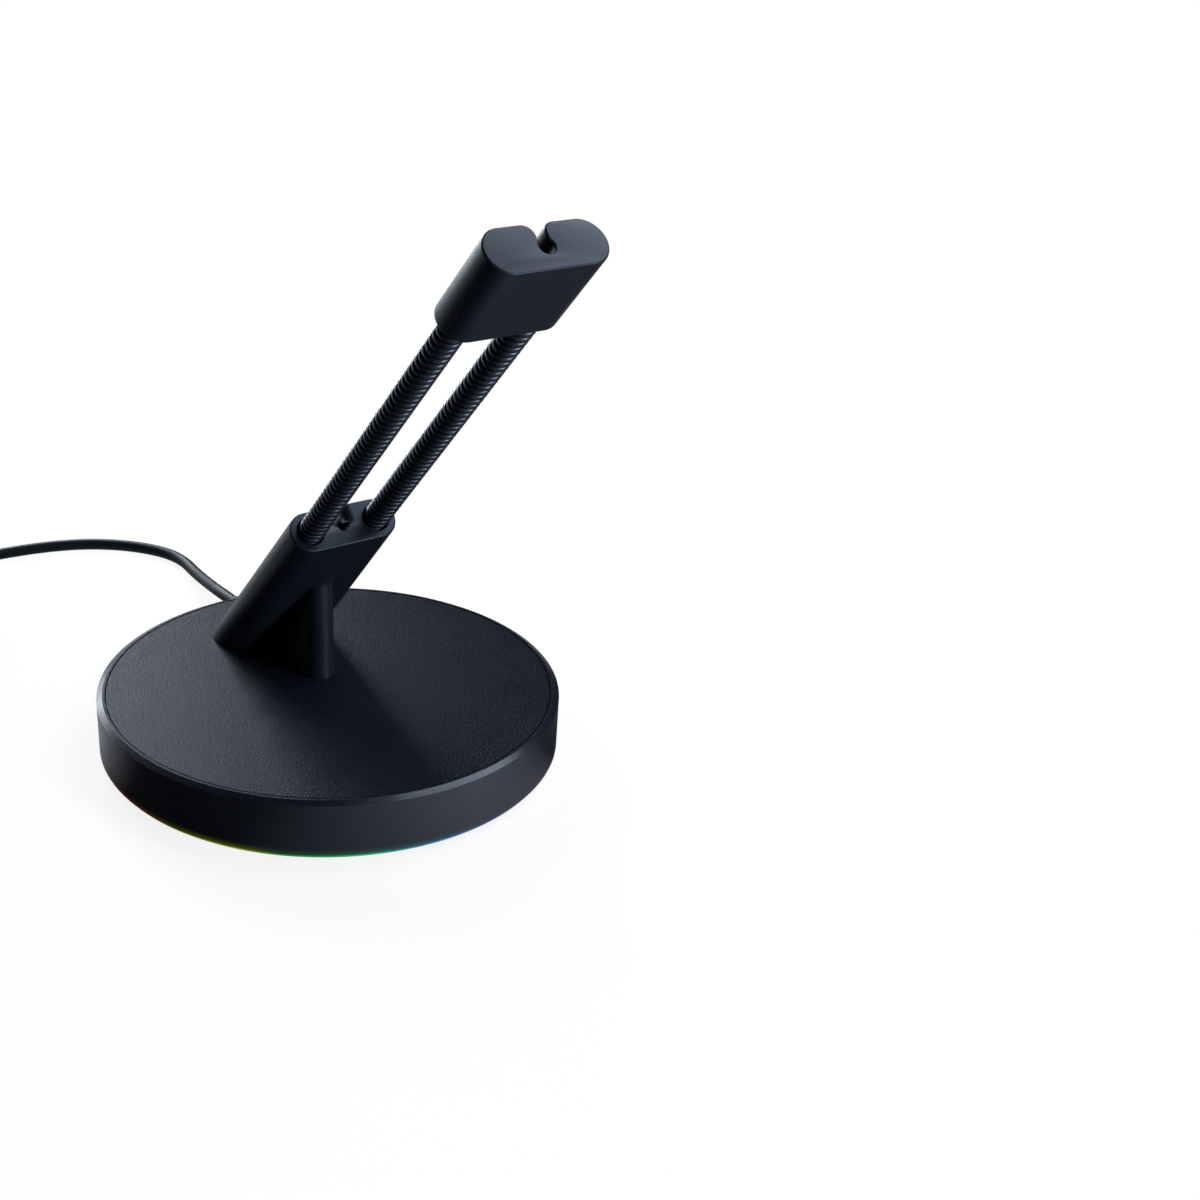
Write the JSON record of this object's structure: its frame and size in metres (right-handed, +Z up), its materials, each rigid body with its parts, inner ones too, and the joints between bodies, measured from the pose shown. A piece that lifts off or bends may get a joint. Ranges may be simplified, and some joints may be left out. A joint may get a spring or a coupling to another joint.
{
  "type": "mouse bungee",
  "caption": "Cord holder for a desk: weighted round base with a light ring, leaning bracket, twin coil-spring arm and a slotted head that holds a cord clear of the desk.",
  "frame": {"origin": "on the desk below the centre of the round base, at the underside of the rubber foot", "axes": "+Z up; the spring arm leans towards -Y, which is the front; +X across, with the twin springs side by side along X"},
  "size_m": [0.1435, 0.2035, 0.1261],
  "materials": {
    "base_plastic": "fine matte black moulding",
    "cover_plastic": "fine spark-textured black moulding",
    "arm_plastic": "satin black moulding",
    "screw_steel": "black-plated steel",
    "weight_steel": "plain steel plate",
    "board": "solder-masked circuit board",
    "led": "diffuse lamp package",
    "chip": "moulded chip package",
    "connector": "white nylon",
    "light_ring": "clear diffusing plastic, lit in a rainbow",
    "plate_plastic": "matte black moulding",
    "foot_rubber": "non-slip rubber",
    "spring_steel": "black-coated spring steel",
    "lead_rubber": "smooth soft black jacket",
    "tie": "woven hook-and-loop strap",
    "plug_plastic": "moulded black plug grip",
    "plug_shell": "stamped plated steel",
    "plug_tongue": "black insulator"
  },
  "bodies": {
    "stand": {"base_rim": "base_plastic", "top_cover": "cover_plastic", "arm_bracket": "arm_plastic", "bracket_screws": "screw_steel", "weight_screws": "screw_steel", "bottom_screws": "screw_steel", "weight_plate": "weight_steel", "led_board": "board", "leds": "led", "controller_chip": "chip", "board_connector": "connector", "inner_lead": "lead_rubber", "light_ring": "light_ring", "bottom_plate": "plate_plastic", "rubber_foot": "foot_rubber", "left_spring": "spring_steel", "right_spring": "spring_steel", "strain_relief": "lead_rubber", "cord_lead": "lead_rubber", "cord_coil": "lead_rubber", "cord_tail": "lead_rubber", "coil_tie": "tie", "usb_plug_body": "plug_plastic", "usb_plug_shell": "plug_shell", "usb_plug_tongue": "plug_tongue"},
    "head": {"cord_head": "arm_plastic"}
  },
  "joints": [
    {"name": "arm_flex", "type": "hinge", "parent": "stand", "child": "head", "pos_m": [0, -0.02268, 0.07114], "axis": [1, 0, 0], "range_deg": [-25, 45], "stiffness_Nm_per_rad": 0.15, "springref_deg": -0.49, "deforming": ["left_spring", "right_spring"]}
  ]
}
